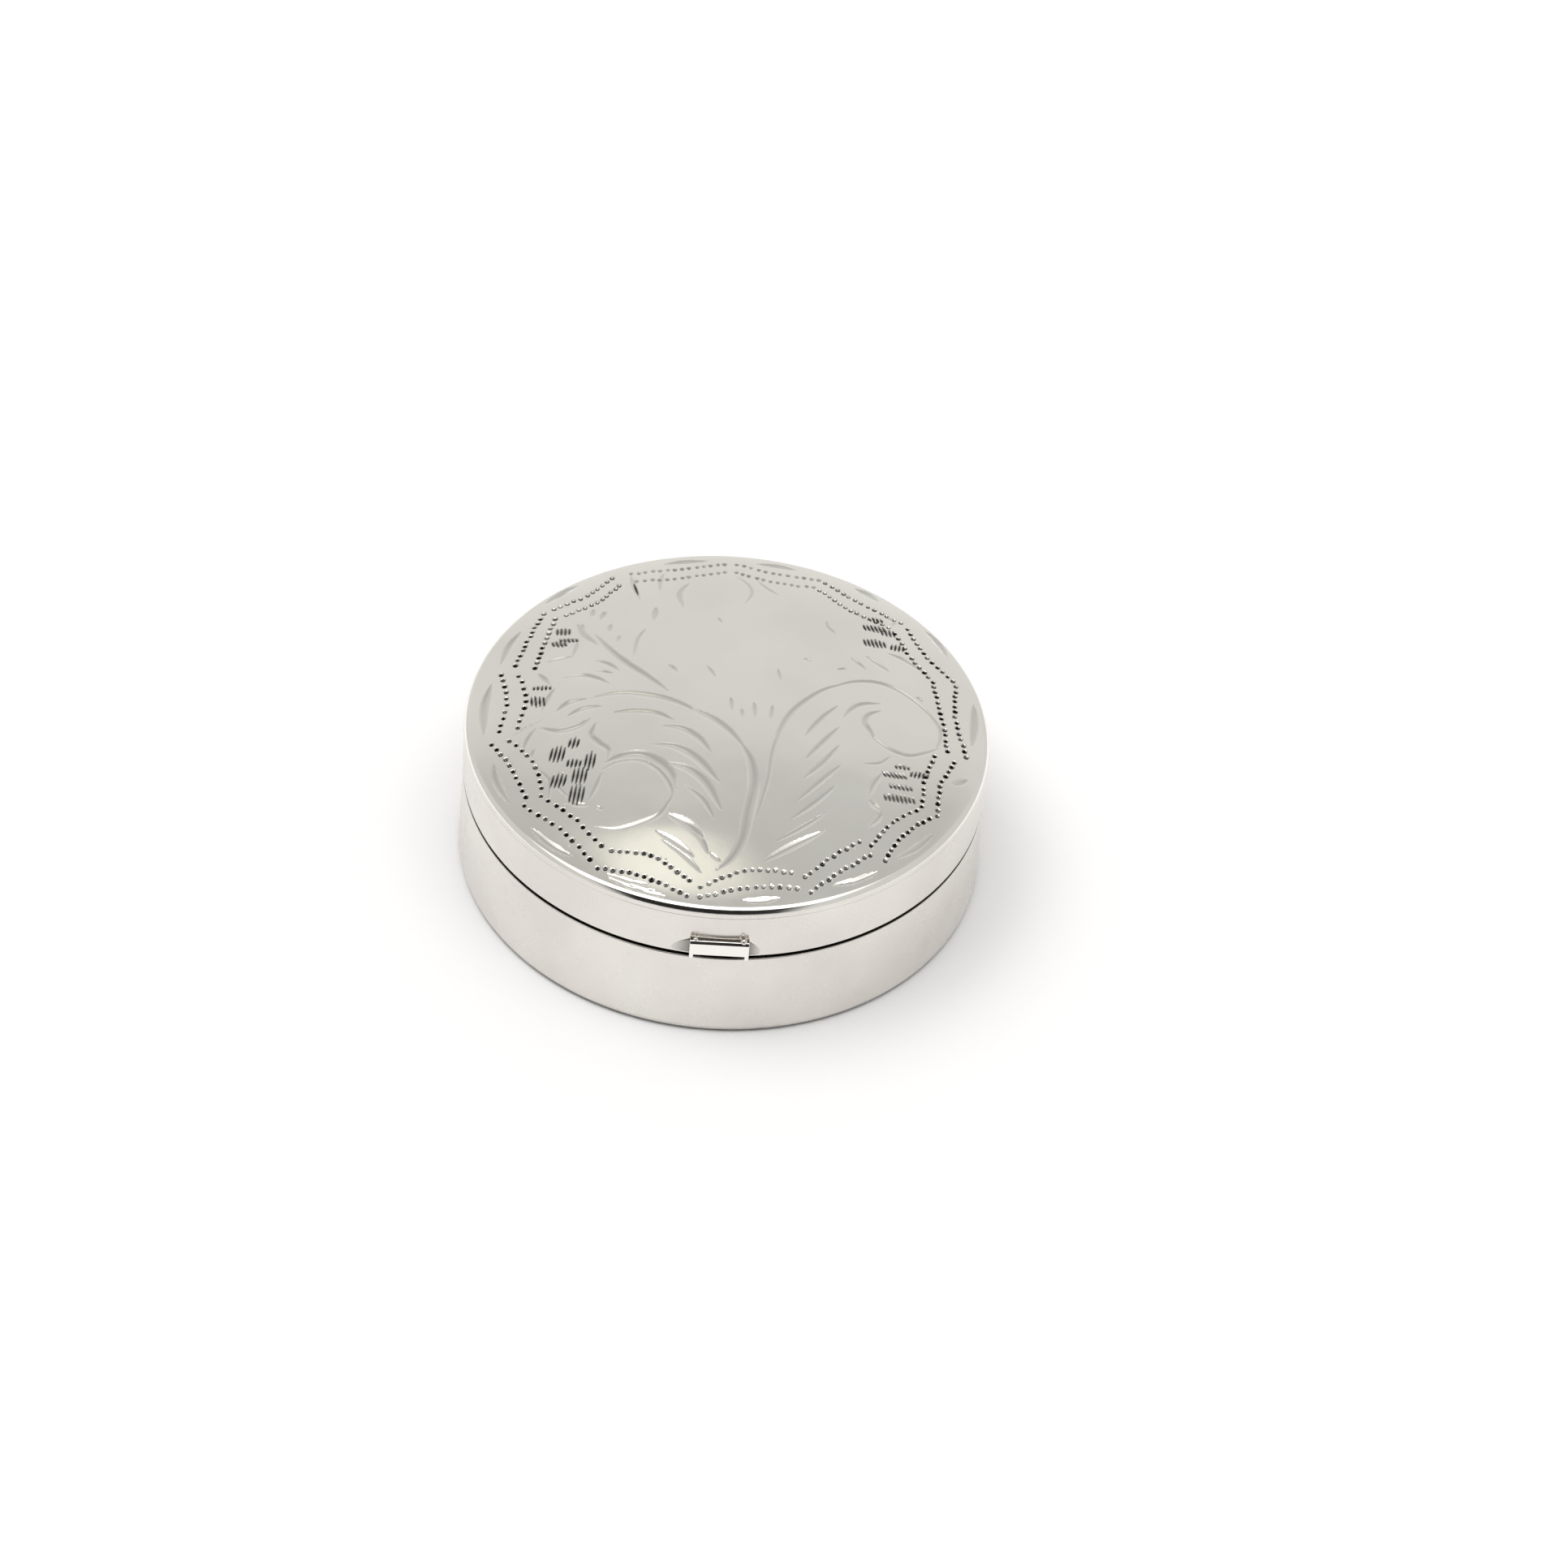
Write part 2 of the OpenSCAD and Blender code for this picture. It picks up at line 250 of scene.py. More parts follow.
# (greatest width, points along the cut) of the scrolls, leaves and ticks
CUTS = [
    # left scroll, its stem and its volute
    (0.42, [(-8.9, 0.6), (-7, 1.1), (-5, 0.9), (-3.3, 0.3), (-1.9, -0.6)]),
    (0.42, [(-2.6, -0.1), (-1, -1.1), (0.1, -2.2), (1.0, -3.5)]),
    (0.62, [(0.8, -3.1), (1.5, -4.8), (1.7, -7), (1.4, -9.3), (1.1, -11.4), (0.5, -12.9), (-0.4, -13.9)]),
    (0.62, [(-7.7, -5.3), (-6.6, -4.7), (-5.4, -4.6), (-4.2, -5.3), (-3.5, -6.3), (-3.2, -7.5)]),
    (0.3, [(-7.9, -6), (-7, -5.3), (-5.6, -5.1), (-4.5, -5.7), (-3.7, -6.9), (-3.4, -8.1), (-3.8, -9.2)]),
    (0.34, [(-3.5, -8.4), (-4.1, -9.7), (-5.3, -10.5), (-6.8, -11), (-8.1, -10.8)]),
    (0.24, [(-7.9, -6.2), (-8.2, -7.4), (-8.6, -8.6)]),
    (0.22, [(-8.1, -9.1), (-7.7, -9.4)]),
    # leaves inside the left scroll
    (0.4, [(-7.5, -0.8), (-6.1, -0.6), (-4.8, -0.7), (-3.6, -1.3)]),
    (0.42, [(-4.3, -1.9), (-3, -2.1), (-1.9, -2.9), (-1.1, -4.1)]),
    (0.5, [(-4.8, -3.6), (-3.3, -3.8), (-1.9, -4.8), (-0.5, -6.7)]),
    (0.5, [(-4, -5.2), (-2.5, -5.7), (-1.3, -6.9), (-0.3, -9.1)]),
    (0.3, [(-2.6, -7.2), (-1.5, -8.3), (-0.7, -9.9)]),
    (0.58, [(-3.6, -9.7), (-2.5, -10.4), (-1.4, -11.4)]),
    (0.28, [(-2.3, -10.9), (-1.5, -11.6), (-1, -12.7)]),
    (0.4, [(-4.3, -11.1), (-3.1, -11.9), (-1.9, -13)]),
    (0.3, [(-3.9, -11.8), (-2.6, -12.8), (-1.4, -14.2)]),
    (0.24, [(-0.9, -12.6), (-0.2, -13.3)]),
    # leaf tips and husk at the start of the left scroll
    (0.4, [(-12, -2.2), (-10.8, -2.5), (-9.6, -2.1), (-8.8, -1.3)]),
    (0.36, [(-8.5, -1.8), (-8.7, -2.9), (-8.2, -3.6), (-7.6, -4.2), (-7.6, -5.1)]),
    (0.36, [(-11, -0.6), (-10.2, 0.2), (-9.2, 0.5)]),
    (0.34, [(-10.3, -1.1), (-9.3, -0.4), (-8.2, -0.2)]),
    (0.26, [(-13.7, -2.8), (-12.8, -2.1), (-11.9, -1.4)]),
    (0.24, [(-12.3, -2.2), (-12.7, -3.1), (-13, -4.2)]),
    (0.22, [(-11.9, -5.9), (-11.2, -6.9), (-11.1, -8.5)]),
    (0.2, [(-11.2, -6.6), (-10.5, -7.6), (-9.9, -8.3)]),
    (0.34, [(-10, -8.4), (-9.4, -8.9), (-8.6, -9)]),
    (0.2, [(-12.3, -4), (-12.4, -5)]),
    # right scroll, its stem and its volute
    (0.24, [(2, -9.4), (2.3, -7.9), (2.6, -6.3), (2.8, -4.2), (3.1, -2.6), (3.6, -1)]),
    (0.34, [(2.9, -3.8), (3.3, -1.8), (4, -0.1), (5, 1.3), (6.2, 2.5), (7.6, 3.3)]),
    (0.32, [(6.4, 2.6), (8, 3.5), (9.6, 3.7), (11, 3.2), (12.2, 2.2), (13.1, 1.1), (13.6, 0.1)]),
    (0.24, [(13.2, 1.1), (13.7, 0), (13.7, -1), (13.4, -2)]),
    (0.28, [(13.5, -1.9), (12.6, -2.5), (11.6, -2.9), (10.5, -2.6), (9.5, -1.8), (8.9, -0.8)]),
    (0.36, [(9.4, -1.6), (8.8, -0.4), (9, 0.4), (9.8, 1)]),
    (0.32, [(7.4, 0), (7.9, 0.8), (8.6, 1.4), (9.8, 1.7)]),
    # leaves inside the right scroll
    (0.3, [(7, 1), (6, -0.3), (4.9, -2.1)]),
    (0.3, [(7.1, -1), (6.1, -2.5), (5, -4.2)]),
    (0.3, [(7.1, -2.7), (6.1, -4.4), (4.9, -5.9)]),
    (0.3, [(7.2, -4.5), (5.9, -6.1), (4.5, -7.9)]),
    (0.34, [(6.9, -6.3), (5.6, -7.9), (4.1, -9.5)]),
    (0.3, [(6.3, -8.7), (4.9, -10), (3.2, -11.4)]),
    (0.46, [(6.2, -10.2), (4.3, -11.6), (2.4, -13.1)]),
    # husks at the right
    (0.2, [(8.7, -4.1), (9.7, -3.9), (10.4, -3.2)]),
    (0.34, [(9.8, -4.9), (9.3, -5.9), (9, -7)]),
    (0.3, [(9.1, -7.2), (9.7, -8)]),
    (0.32, [(9.9, -8), (9.6, -8.7), (9, -9.5)]),
    (0.3, [(14.4, -4.8), (15.4, -4.2)]),
    # sprays at the left and far left
    (0.44, [(-8.9, 7), (-7.8, 5.3), (-6.7, 4), (-5.2, 2.6), (-4, 1.4)]),
    (0.4, [(-10.1, 8.1), (-9.6, 6.9), (-8.7, 5.9)]),
    (0.34, [(-10.8, 2.6), (-9.6, 2.8), (-8.6, 2.5), (-7.8, 2)]),
    (0.3, [(-8.7, 4.3), (-7.9, 3.9), (-7.2, 3.3)]),
    (0.24, [(-8.7, 3.3), (-7.6, 3)]),
    (0.3, [(-11.9, 4.2), (-11, 4.5), (-10.3, 4.7)]),
    (0.24, [(-10, 6.3), (-10.1, 5.5), (-10.3, 4.7)]),
    (0.34, [(-12.4, 3), (-11.6, 1.9)]),
    (0.28, [(-11.3, 1.5), (-11.7, 0.4), (-12, -0.6)]),
    (0.26, [(-9.8, 8.1), (-9.7, 7.3)]),
    # far side
    (0.34, [(-6.8, 13.6), (-6.5, 12.2), (-6.1, 10.9)]),
    (0.4, [(-5, 10), (-5.1, 8.6)]),
    (0.32, [(-9.1, 9.7), (-9.2, 8.9)]),
    (0.36, [(-8.3, 9.5), (-8.6, 8.6)]),
    (0.3, [(-7.9, 8.1), (-8, 7.3)]),
    (0.22, [(-7.3, 6.9), (-7.4, 6.3)]),
    (0.24, [(-5.6, 7.7), (-6.1, 6.5), (-6.3, 4.9)]),
    (0.3, [(-4.6, 14), (-4.8, 13), (-4.8, 11.9)]),
    (0.36, [(-2.9, 12.9), (-3.5, 11.6), (-3.2, 10.1)]),
    (0.24, [(0.3, 14), (1.1, 13), (1.3, 12), (0.9, 10.9)]),
    (0.26, [(1.7, 13.6), (2.3, 12.8), (3.1, 12.1)]),
    (0.28, [(8, 11.3), (8.7, 10.4)]),
    (0.3, [(10.2, 10.9), (10.8, 10.5), (10.7, 9.9)]),
    (0.34, [(10.4, 6.9), (11.6, 6.3), (13, 5.2)]),
    (0.26, [(7.9, 6), (8.9, 4.9)]),
    (0.3, [(8.9, 6.3), (9.6, 5.7), (10.4, 5)]),
    (0.22, [(6.3, 9.7), (6.4, 9), (6.9, 8.4)]),
    (0.24, [(12.2, 2.8), (12.6, 2.4)]),
    # ticks in the middle
    (0.26, [(0.1, 1), (0.2, -0.2)]),
    (0.22, [(0.8, 0), (0.9, -0.8)]),
    (0.26, [(1.6, 0.7), (1.7, -0.7)]),
    (0.26, [(2.8, 0.5), (2.7, -0.8)]),
    (0.22, [(-1.5, 4), (-0.9, 2.9)]),
    (0.22, [(3.1, 4.1), (3.3, 3.1)]),
    (0.26, [(-4, 4), (-3.4, 3.3)]),
    (0.22, [(4.8, 5.4), (5.3, 5.2)]),
    (0.22, [(7, 4.6), (7.6, 4.8)]),
    (0.2, [(-0.9, 9.1), (-0.6, 8.6)]),
]

# (centre x, centre y, lines, line length, lean of the lines in degrees) of the hatched husks
HATCHES = [
    (-10.8, -4.6, 4, 1.7, 8), (-9.8, -3.6, 3, 1.1, 10), (-8.7, -5.2, 3, 1.8, 6), (-9.7, -5.4, 4, 0.9, 8),
    (-9.3, -6.5, 4, 1.7, 6), (-9.4, -8.1, 4, 2, 6), (-10.6, -6.9, 4, 1.5, 10),
    (10.7, -4.8, 6, 0.7, -30), (12.3, -4.5, 5, 0.7, 12), (11.1, -5.8, 6, 0.6, -20),
    (11.0, -6.8, 8, 0.8, -12), (11.2, -4, 4, 0.5, -10),
    (9.5, 9.4, 6, 0.9, -20), (9.5, 7.8, 6, 1, -14), (10.4, 9.1, 4, 0.9, -10), (11, 7.6, 4, 0.8, 8),
    (9.6, 10.4, 4, 0.6, -20),
    (-11, 7.3, 4, 0.9, -2), (-10.6, 6.4, 5, 0.5, -16), (-11.2, 6, 4, 0.7, -20),
    (-12.1, 1.6, 5, 0.5, 0), (-12.3, 0.3, 4, 1.2, -6), (-6.4, 12.1, 1, 1.9, -14),
]
# Lens-shaped cuts outside the dotted rows: (greatest width, points along the cut)
EYES = [
    (0.42, [(-13.8, 7.5), (-14.5, 5.9), (-14.9, 4.2)]),
    (0.5, [(-15.4, 2.2), (-15.7, -0.1), (-15.6, -2.5)]),
    (0.42, [(-14.8, -5.3), (-14.4, -7), (-13.6, -8.6)]),
    (0.4, [(-12.1, -10.7), (-10.9, -12), (-9.4, -13.1)]),
    (0.2, [(-7.2, -14.4), (-5.9, -14.9), (-4.6, -15.2)]),
    (0.18, [(-7.1, -14.7), (-5.6, -15.4), (-4.2, -15.6)]),
    (0.26, [(-5.8, -15.2), (-4.7, -15.7), (-3.6, -16)]),
    (0.36, [(1.2, -16.1), (2.4, -16), (3.5, -15.7)]),
    (0.34, [(6.8, -14.4), (8.3, -13.8), (9.7, -12.9)]),
    (0.36, [(10.8, -11.7), (12.1, -10.6), (13.2, -9.2)]),
    (0.3, [(14.5, -4.9), (15, -4.6), (15.4, -4.2)]),
    (0.46, [(16, 3), (16, 1), (15.8, -1)]),
    (0.42, [(13, 10), (13.8, 8.9), (14.3, 7.6)]),
    (0.4, [(8.2, 13.9), (9.1, 13.4), (9.8, 12.7)]),
    (0.36, [(1.6, 15.8), (3, 15.7), (4.3, 15.4)]),
    (0.36, [(-4.6, 15.2), (-3.2, 15.6), (-1.7, 15.8)]),
    (0.42, [(-10.3, 12.6), (-11.4, 11.7), (-12.3, 10.6)]),
]
HATCH_PITCH = 0.26
HATCH_WIDTH = 0.22
HATCH_TAPER = 0.25  # how much shorter the outer lines of a patch are
HATCH_DEPTH = 0.8  # depth over half the width, of a hatch line
CUT_DEPTH = 0.24  # the same for a scroll or leaf at the back and in the middle
CUT_DEPTH_FRONT = 0.32  # and for one near the front edge
EYE_DEPTH = 0.3  # and for an eye of the border
FRONT_ZONE = (-7.5, -11)  # between these two Y the cuts get deeper
CUT_SPREAD = 1.45  # how much wider than listed a cut is with its soft shoulders
CUT_POWER = 1.3  # shape of a cut's section: 1 is a V, and 2 a round groove
CUT_TAPER = 0.55  # how bluntly a cut runs out: 1 is a lens, and less is blunter
CUT_DULL = 0.17  # how much tarnish sits in a scroll or leaf
EYE_DULL = 0.2  # and in an eye of the border
HATCH_DULL = 1  # and in a hatch line
CUT_ENDS = (0.02, 0.98)  # shares of its length past which a cut gets no narrower
CUT_FILL = 1.6  # how soon the tarnish is full on the way down into a cut
DOT_FILL = 3.5  # and into a dot


def smooth_line(points, spans=10):
    """A Catmull-Rom curve through the points."""
    p = np.array(points, float)
    if len(p) == 2:
        return p[0] + (p[1] - p[0]) * np.linspace(0, 1, spans)[:, None]
    p = np.vstack([2 * p[0] - p[1], p, 2 * p[-1] - p[-2]])
    t = np.linspace(0, 1, spans, endpoint=False)[:, None]
    runs = []
    for a, b, c, d in zip(p, p[1:], p[2:], p[3:]):
        slope = c - a
        bend = 2 * a - 5 * b + 4 * c - d
        twist = 3 * b - a - 3 * c + d
        runs.append(0.5 * (2 * b + slope * t + bend * t**2 + twist * t**3))
    return np.vstack([*runs, p[-2:-1]])


def distances(line):
    """How far along the line each of its points lies."""
    steps = np.hypot(*np.diff(line, axis=0).T)
    return np.concatenate([[0], np.cumsum(steps)])


def polar(r, degrees):
    """The point of the plan at a radius and an azimuth."""
    return (r * math.cos(math.radians(degrees)), r * math.sin(math.radians(degrees)))


def border_rows():
    """The dots of the border, as (x, y, radius, depth)."""
    dots = []
    rng = np.random.default_rng(7)
    for start, end, dig, *rows in LUNETTES:
        azimuths = (start, (start + end) / 2, end)
        pitch = WIDE_PITCH if WIDE_SPAN[0] < start < WIDE_SPAN[1] else DOT_PITCH
        for radii in rows:
            line = smooth_line([polar(r, azimuth) for r, azimuth in zip(radii, azimuths)], 40)
            run = distances(line)
            count = round(run[-1] / pitch)
            for s in np.linspace(0, run[-1], count + 1):
                stray = rng.normal(0, DOT_STRAY, 2)
                size = DOT_R * rng.uniform(*DOT_SIZES)
                depth = DOT_DEPTH * dig * rng.uniform(*DOT_DEPTHS)
                x, y = np.interp(s, run, line[:, 0]), np.interp(s, run, line[:, 1])
                dots.append((x + stray[0], y + stray[1], size, depth))
    return dots


def hatch_lines():
    """Fine parallel cuts, in patches, as (width, points)."""
    lines = []
    for x, y, count, length, lean in HATCHES:
        lean = math.radians(lean)
        for k in range(count):
            shift = (k - (count - 1) / 2) * HATCH_PITCH
            size = length * (1 - HATCH_TAPER * abs(2 * k / max(count - 1, 1) - 1))
            dx, dy = size / 2 * math.sin(lean), size / 2 * math.cos(lean)
            lines.append((HATCH_WIDTH, [(x + shift - dx, y - dy), (x + shift + dx, y + dy)]))
    return lines


def cut_steepness(points):
    """Depth over half the width of a scroll or leaf, which grows towards the front edge."""
    middle = np.mean([y for _, y in points])
    zone = [-y for y in FRONT_ZONE]
    return float(np.interp(-middle, zone, (CUT_DEPTH, CUT_DEPTH_FRONT)))


class Engraving:
    """The relief of the lid: how far the surface lies below the plain dome, in millimetres."""

    def __init__(self):
        self.dots = border_rows()
        self.lines = []
        for width, points in CUTS:
            self.add_line(width * CUT_SPREAD, points, cut_steepness(points), CUT_DULL)
        for width, points in EYES:
            self.add_line(width * CUT_SPREAD, points, EYE_DEPTH, EYE_DULL)
        for width, points in hatch_lines():
            self.add_line(width, points, HATCH_DEPTH, HATCH_DULL)

    def add_line(self, width, points, steep, tarnish_and_shade):
        """Adds a cut that is widest in the middle and runs out at both ends."""
        line = smooth_line(points)
        run = distances(line)
        share = np.clip(run / run[-1], *CUT_ENDS)
        half = width / 2 * np.sin(np.pi * share) ** CUT_TAPER
        self.lines.append((line, half, width, steep, tarnish_and_shade))

    def depth(self, x, y):
        """Depth of the cuts at the points, in millimetres, and how much tarnish sits there, from 0 to 1."""
        deep, dark = np.zeros(len(x)), np.zeros(len(x))
        order = np.argsort(x)
        xs = x[order]
        for line, half, width, steep, tarnish_and_shade in self.lines:
            lo, hi = line.min(0) - width, line.max(0) + width
            near = order[np.searchsorted(xs, lo[0]):np.searchsorted(xs, hi[0])]
            near = near[(y[near] > lo[1]) & (y[near] < hi[1])]
            if len(near):
                groove, share = self.groove(x[near], y[near], line, half, steep)
                deep[near] = np.maximum(deep[near], groove)
                dark[near] = np.maximum(dark[near], tarnish_and_shade * np.clip(CUT_FILL * share, 0, 1))
        for cx, cy, r, dot_depth in self.dots:
            near = order[np.searchsorted(xs, cx - r):np.searchsorted(xs, cx + r)]
            pit = np.clip(1 - np.hypot(x[near] - cx, y[near] - cy) / r, 0, 1)
            deep[near] = np.maximum(deep[near], dot_depth * pit)
            dark[near] = np.maximum(dark[near], dot_depth / DOT_DEPTH * np.clip(DOT_FILL * pit, 0, 1))
        return deep, dark

    @staticmethod
    def groove(x, y, line, half, steep):
        """Depth of one cut at the points, and the same as a share of its greatest depth."""
        best = np.zeros(len(x))
        share = np.zeros(len(x))
        for (ax, ay), (bx, by), ha, hb in zip(line, line[1:], half, half[1:]):
            length2 = max((bx - ax) ** 2 + (by - ay) ** 2, 1e-12)
            t = np.clip(((x - ax) * (bx - ax) + (y - ay) * (by - ay)) / length2, 0, 1)
            d = np.hypot(x - ax - t * (bx - ax), y - ay - t * (by - ay))
            h = ha + t * (hb - ha)
            section = np.clip(1 - (d / h) ** CUT_POWER, 0, 1)
            best = np.maximum(best, steep * h * section)
            share = np.maximum(share, section)
        return best, share


SWELL = (-3.4, -10.4)  # where the sheet was pushed up a little by the graver's work
SWELL_SIZE = (4.2, 2.5)
SWELL_HEIGHT = 0.1
WAVES = 14  # slow waves that lie over each other
WAVE_LENGTHS = (3.5, 11)
WAVE_SLOPE = 0.0016  # steepest slope of one wave


def hand_waves(x, y):
    """Slow unevenness of a hand-worked sheet: one soft swell, and waves a few thousandths high."""
    across = (x - SWELL[0]) / SWELL_SIZE[0]
    along = (y - SWELL[1]) / SWELL_SIZE[1]
    z = SWELL_HEIGHT * np.exp(-(across**2) - along**2)
    rng = np.random.default_rng(11)
    for _ in range(WAVES):
        angle, phase = rng.uniform(0, 2 * math.pi, 2)
        k = 2 * math.pi / rng.uniform(*WAVE_LENGTHS)
        z += WAVE_SLOPE / k * np.sin(k * (x * math.cos(angle) + y * math.sin(angle)) + phase)
    return z


# ---- lid top
# (share of the rise, power of the radius) of a wide dome that rolls off at its edge
DOME_PARTS = ((0.88, 2), (0.12, 12))
WAVE_ROOM = 0.012  # kept free under the crown for the unevenness of the sheet
CELLS = 110  # coarse cells across the lid
FINE = 4  # fine cells across a coarse cell that holds a cut
SLOPE_STEP = 0.012  # distance over which the relief's slope is taken
# Height of the normal below which a face of the lid top is on its underside or its turned-down edge
UNDERSIDE_FACING = -0.5
EDGE_FACING = 0.34


def dome_drop(ratio):
    """How far the dome has dropped, as a share of its rise, at a share of its radius."""
    return sum(share * ratio**power for share, power in DOME_PARTS)


def dome_steepness(ratio):
    """How fast the dome drops there, for a rise and a radius of 1."""
    return sum(share * power * ratio ** (power - 1) for share, power in DOME_PARTS)


def dome_profile():
    """Rise, edge slope and edge radius of the dome, so that it meets the shoulder smoothly."""
    rise = CROWN_Z - SHOULDER_Z - SHOULDER_R
    for _ in range(20):
        slope = math.atan(rise * dome_steepness(1) / DOME_EDGE_R)
        edge_r = DOME_EDGE_R + SHOULDER_R * math.sin(slope)
        rise = CROWN_Z - WAVE_ROOM - SHOULDER_Z - SHOULDER_R * math.cos(slope)
    return rise, slope, edge_r


RISE, EDGE_SLOPE, EDGE_R = dome_profile()


def dome_height(x, y):
    """Height of the plain dome."""
    return CROWN_Z - WAVE_ROOM - RISE * dome_drop(np.hypot(x, y) / EDGE_R)


def disc_point(u, v):
    """Maps a square of side 2 to a disc of radius 1, with even cells."""
    flat = np.abs(u) > np.abs(v)
    with np.errstate(divide="ignore", invalid="ignore"):
        a = np.where(flat, math.pi / 4 * v / u, math.pi / 2 - math.pi / 4 * u / v)
    r = np.where(flat, u, v)
    a = np.where((u == 0) & (v == 0), 0, a)
    return r * np.cos(a), r * np.sin(a)


def lid_surface(engraving):
    """The engraved dome: faces on a grid that is fine only where there is a cut."""
    size = CELLS * FINE
    line = np.linspace(-1, 1, size + 1)
    u, v = (g.ravel() for g in np.meshgrid(line, line, indexing="ij"))
    x, y = disc_point(u, v)
    x, y = x * EDGE_R, y * EDGE_R
    deep = engraving.depth(x, y)[0].reshape(size + 1, size + 1)
    fine = np.zeros((CELLS + 2, CELLS + 2), bool)
    for i in range(CELLS):
        for j in range(CELLS):
            patch = deep[i * FINE:(i + 1) * FINE + 1, j * FINE:(j + 1) * FINE + 1]
            fine[i + 1, j + 1] = patch.max() > 1e-6
    faces = []
    for i in range(CELLS):
        for j in range(CELLS):
            faces.extend(cell_faces(i, j, fine, size + 1))
    used = np.unique(np.concatenate([np.array(f) for f in faces]))
    index = np.full((size + 1) ** 2, -1)
    index[used] = np.arange(len(used))
    faces = [[int(index[k]) for k in f] for f in faces]
    edge = np.maximum(np.abs(u), np.abs(v))[used] > 1 - 1e-9
    return x[used], y[used], faces, edge


def cell_faces(i, j, fine, row):
    """One coarse cell, whole or in fine quads. Its sides carry its finer neighbours' points."""
    def at(a, b):
        return (i * FINE + a) * row + j * FINE + b
    if fine[i + 1, j + 1]:
        return [
            [at(a, b), at(a + 1, b), at(a + 1, b + 1), at(a, b + 1)]
            for a in range(FINE) for b in range(FINE)
        ]
    sides = [
        (fine[i + 1, j], j == 0, lambda k: at(k, 0)),
        (fine[i + 2, j + 1], i == CELLS - 1, lambda k: at(FINE, k)),
        (fine[i + 1, j + 2], j == CELLS - 1, lambda k: at(FINE - k, FINE)),
        (fine[i, j + 1], i == 0, lambda k: at(0, FINE - k)),
    ]
    loop = []
    for finer, rim, point in sides:
        step = 1 if finer else FINE // 2 if rim else FINE
        loop.extend(point(k) for k in range(0, FINE, step))
    return [loop]


def relief(engraving, x, y):
    """Height of the engraved surface."""
    return dome_height(x, y) - engraving.depth(x, y)[0] + hand_waves(x, y)


def relief_normals(engraving, x, y):
    """Normals of the engraved surface, from its slopes."""
    d = SLOPE_STEP
    slope_x = (relief(engraving, x + d, y) - relief(engraving, x - d, y)) / (2 * d)
    slope_y = (relief(engraving, x, y + d) - relief(engraving, x, y - d)) / (2 * d)
    normals = np.stack([-slope_x, -slope_y, np.ones(len(x))], 1)
    return normals / np.linalg.norm(normals, axis=1)[:, None]


def ring_of(angles, r, z):
    """A row of points, or of normals, with one radius and one height."""
    return np.stack([r * np.cos(angles), r * np.sin(angles), np.full(len(angles), z)], 1)


def make_lid_top():
    """The domed sheet: engraved outside, tight shoulder, and a plain underside."""
    engraving = Engraving()
    x, y, faces, edge = lid_surface(engraving)
    z = relief(engraving, x, y)
    normals = relief_normals(engraving, x, y)
    rim = np.where(edge)[0]
    angles = np.arctan2(y[rim], x[rim])
    rim = rim[np.argsort(angles)]
    angles = np.sort(angles)
    z[rim] = CROWN_Z - WAVE_ROOM - RISE
    normals[rim] = ring_of(angles, math.sin(EDGE_SLOPE), math.cos(EDGE_SLOPE))
    verts = [np.stack([x, y, z], 1)]
    all_normals = [normals]
    ring = rim.tolist()
    count = len(x)
    for (r, height), (out, up) in zip(*lid_top_outline()):
        pole = r < ON_AXIS
        turns = angles[:1] if pole else angles
        verts.append(ring_of(turns, r, height))
        all_normals.append(ring_of(turns, out, up))
        after = [count] * len(rim) if pole else list(range(count, count + len(rim)))
        count += len(turns)
        faces.extend(strip(after, ring))
        ring = after
    obj = make_object("lid_top_engraved", np.vstack(verts), faces, np.vstack(all_normals))
    dark = np.zeros(count)
    dark[:len(x)] = engraving.depth(x, y)[1]
    add_tarnish_and_shade(obj, dark)
    return obj


def shade_lid_top(obj, wall, inside):
    """Gives the turned-down edge the finish of the walls, and the underside that of the inside."""
    obj.data.materials.append(wall)
    obj.data.materials.append(inside)
    shoulder_top = (SHOULDER_Z + SHOULDER_R) * MM
    for face in obj.data.polygons:
        if face.normal.z < UNDERSIDE_FACING:
            face.material_index = 2
        elif face.normal.z < EDGE_FACING and face.center.z < shoulder_top:
            face.material_index = 1


def lid_top_outline():
    """The shoulder, the lower edge and the underside of the domed sheet, from the rim inwards."""
    points, normals = [], []
    steps = 10
    for k in range(1, steps + 1):
        a = (math.pi / 2 - EDGE_SLOPE) * (1 - k / steps)
        points.append((DOME_EDGE_R + SHOULDER_R * math.cos(a), SHOULDER_Z + SHOULDER_R * math.sin(a)))
        normals.append((math.cos(a), math.sin(a)))
    e = SOLDER_EDGE
    for centre_r, turns in ((BOX_R - e, (0, 45, 90)), (INNER_R + e, (90, 135, 180))):
        for degrees in turns:
            c, s = polar(1, degrees)
            points.append((centre_r + e * c, SOLDER_Z + e - e * s))
            normals.append((c, -s))
    for r in np.linspace(INNER_R - SHOULDER_R / 2, 0, 16):
        points.append((r, CROWN_Z - WAVE_ROOM - SHEET - RISE * dome_drop(r / EDGE_R)))
        slope = RISE / EDGE_R * dome_steepness(r / EDGE_R)
        length = math.hypot(1, slope)
        normals.append((-slope / length, -1 / length))
    return points, normals


# ---- other pieces


def painted_foot_shade(r, z):
    """Painted shade on the underside, which fades out up the rounding of the foot."""
    return FOOT_SHADE * (1 - z / FOOT_Z)


def make_base_plate():
    """The bottom sheet, whose whole height is the soft rounding of the foot."""
    points, normals = solid_profile(FOOT_Z, [(FOOT_R, 0, 0.98 * FOOT_Z), (FOOT_R, FOOT_Z, HIDDEN_EDGE)], 10)
    # The foot's rounding gets painted shade, darkest at the floor.
    return lathe("base_plate_polished", points, normals, closed=False, tarnish_and_shade=painted_foot_shade)


